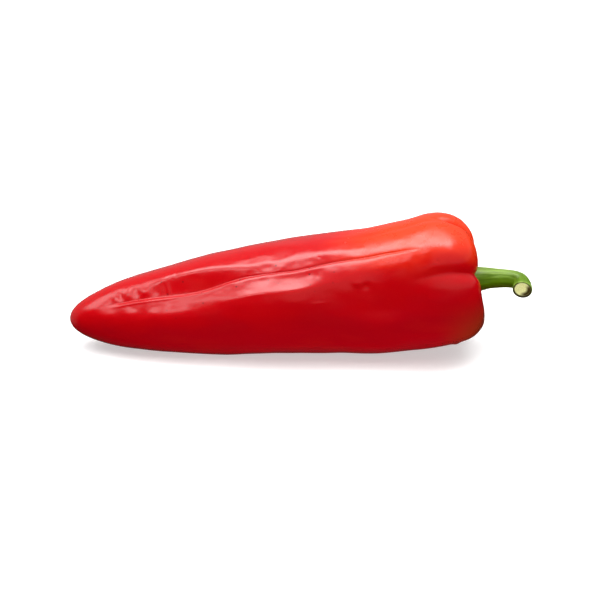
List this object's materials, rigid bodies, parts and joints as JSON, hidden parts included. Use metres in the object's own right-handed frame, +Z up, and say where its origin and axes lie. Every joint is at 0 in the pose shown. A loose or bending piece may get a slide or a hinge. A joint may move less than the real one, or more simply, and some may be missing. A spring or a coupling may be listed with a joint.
{
  "type": "bell pepper",
  "caption": "Long sweet red pepper with rounded tip, creased flank, lobed shoulders and a bent green stalk, lying on its side.",
  "frame": {"origin": "on the table, under the middle of the whole pepper's box", "axes": "+X along the pepper from its tip to its stem end, +Z up as it lies, and -Y is the side with the long crease"},
  "size_m": [0.184, 0.0516, 0.0565],
  "materials": {
    "skin": "waxy, smooth and glossy red skin",
    "calyx": "satin green, leathery",
    "stem": "satin green, lightly ribbed, with a pale cut end"
  },
  "bodies": {
    "root": {"fruit": "skin", "calyx": "calyx", "stem": "stem"}
  },
  "joints": []
}
